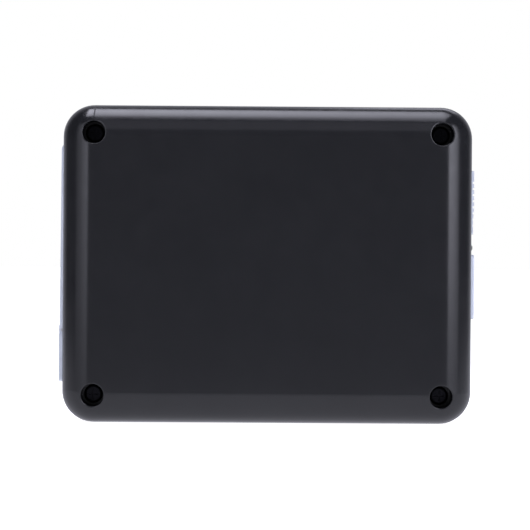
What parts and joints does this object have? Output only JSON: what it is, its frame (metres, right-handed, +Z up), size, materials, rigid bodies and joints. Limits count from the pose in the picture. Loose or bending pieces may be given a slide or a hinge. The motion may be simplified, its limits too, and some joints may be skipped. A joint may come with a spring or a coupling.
{
  "type": "geiger counter",
  "caption": "Handheld radiation counter in a rounded black box, with a display, keys, side controls and a covered charging socket; it stands on its long edge.",
  "frame": {"origin": "middle of the bottom wall, on its outside, midway between the rear and front faces of the shells", "axes": "+Z up, +X to the right seen from the display side, +Y out of the plain rear; the display faces -Y"},
  "size_m": [0.122, 0.0328, 0.093],
  "materials": {
    "shell_black": "satin black moulded ABS with a very fine texture",
    "lens_clear": "clear hard-coated acrylic",
    "mask_black": "black adhesive tape",
    "display_glass": "liquid crystal glass with a grey-green polariser",
    "display_light": "white light-spreading block",
    "bezel_metal": "blackened folded steel",
    "circuit_board": "green solder mask",
    "header_plastic": "black nylon",
    "gold_pin": "gold flash",
    "brass_post": "turned brass",
    "steel": "bright zinc plate",
    "screw_steel": "black zinc plate",
    "pale_plastic": "pale blue-grey moulded plastic",
    "plunger_plastic": "black nylon",
    "switch_body": "black nylon under a steel cover",
    "chip_epoxy": "black moulded epoxy",
    "capacitor_can": "plain can in a dark sleeve",
    "capacitor_film": "dipped epoxy",
    "ferrite": "sintered ferrite",
    "copper": "enamelled copper wire",
    "crystal_metal": "drawn steel can",
    "lamp_red": "tinted clear epoxy",
    "lamp_white": "white lamp with a yellow phosphor",
    "light_pipe": "clear green-grey acrylic",
    "tube_glass": "thin clear glass",
    "tube_metal": "rolled steel sleeve",
    "socket_metal": "drawn steel shell",
    "battery_foil": "pouch foil",
    "tape": "double-sided foam tape",
    "wire_red": "silicone insulation",
    "wire_black": "silicone insulation",
    "connector_white": "natural nylon"
  },
  "bodies": {
    "case": {"rear_cover": "shell_black", "front_cover": "shell_black", "case_screws": "screw_steel", "display_lens": "lens_clear", "lens_tape": "mask_black", "lcd_bezel": "bezel_metal", "lcd_backlight": "display_light", "lcd_glass": "display_glass", "lcd_board": "circuit_board", "lcd_header": "header_plastic", "lcd_header_pins": "gold_pin", "lcd_spacers": "brass_post", "lcd_screws": "steel", "lcd_nuts": "steel", "main_board": "circuit_board", "board_screws": "steel", "key_switches": "switch_body", "side_switches": "switch_body", "supply_capacitors": "capacitor_can", "hv_coil_core": "ferrite", "hv_coil_winding": "copper", "hv_capacitors": "capacitor_film", "microcontroller": "chip_epoxy", "board_chips": "chip_epoxy", "crystal_can": "crystal_metal", "sounder": "chip_epoxy", "count_lamp": "lamp_red", "count_lamp_legs": "steel", "tube_glass": "tube_glass", "tube_sleeve": "tube_metal", "tube_wire": "steel", "tube_caps": "tube_metal", "tube_clips": "brass_post", "rocker_pin": "steel", "light_pipe": "light_pipe", "light_bar": "pale_plastic", "flap_pin": "steel", "usb_socket": "socket_metal", "bar_lamps": "lamp_white", "status_lamp": "lamp_white", "battery": "battery_foil", "battery_tape": "tape", "battery_socket": "connector_white", "battery_plug": "connector_white", "battery_lead_red": "wire_red", "battery_lead_black": "wire_black"},
    "menu_key": {"menu_key": "pale_plastic", "menu_key_plunger": "plunger_plastic"},
    "down_key": {"down_key": "pale_plastic", "down_key_plunger": "plunger_plastic"},
    "up_key": {"up_key": "pale_plastic", "up_key_plunger": "plunger_plastic"},
    "lamp_key": {"lamp_key": "pale_plastic", "lamp_key_plunger": "plunger_plastic"},
    "side_key": {"side_key": "pale_plastic", "side_key_plunger": "plunger_plastic"},
    "side_rocker": {"side_rocker": "pale_plastic"},
    "port_flap": {"port_flap": "pale_plastic"}
  },
  "joints": [
    {"name": "menu_key_press", "type": "slide", "parent": "case", "child": "menu_key", "axis": [0, 1, 0], "range_m": [0, 0.0005], "stiffness_N_per_m": 300},
    {"name": "down_key_press", "type": "slide", "parent": "case", "child": "down_key", "axis": [0, 1, 0], "range_m": [0, 0.0005], "stiffness_N_per_m": 300},
    {"name": "up_key_press", "type": "slide", "parent": "case", "child": "up_key", "axis": [0, 1, 0], "range_m": [0, 0.0005], "stiffness_N_per_m": 300},
    {"name": "lamp_key_press", "type": "slide", "parent": "case", "child": "lamp_key", "axis": [0, 1, 0], "range_m": [0, 0.0005], "stiffness_N_per_m": 300},
    {"name": "side_key_press", "type": "slide", "parent": "case", "child": "side_key", "axis": [1, 0, 0], "range_m": [0, 0.0005], "stiffness_N_per_m": 300},
    {"name": "side_rocker_tilt", "type": "hinge", "parent": "case", "child": "side_rocker", "pos_m": [-0.0567, 0.0036, 0.06515], "axis": [0, 1, 0], "range_deg": [-3, 3], "stiffness_Nm_per_rad": 0.15},
    {"name": "port_flap_turn", "type": "hinge", "parent": "case", "child": "port_flap", "pos_m": [0.0601, 0.0036, 0.0269], "axis": [0, -1, 0], "range_deg": [0, 95]}
  ]
}
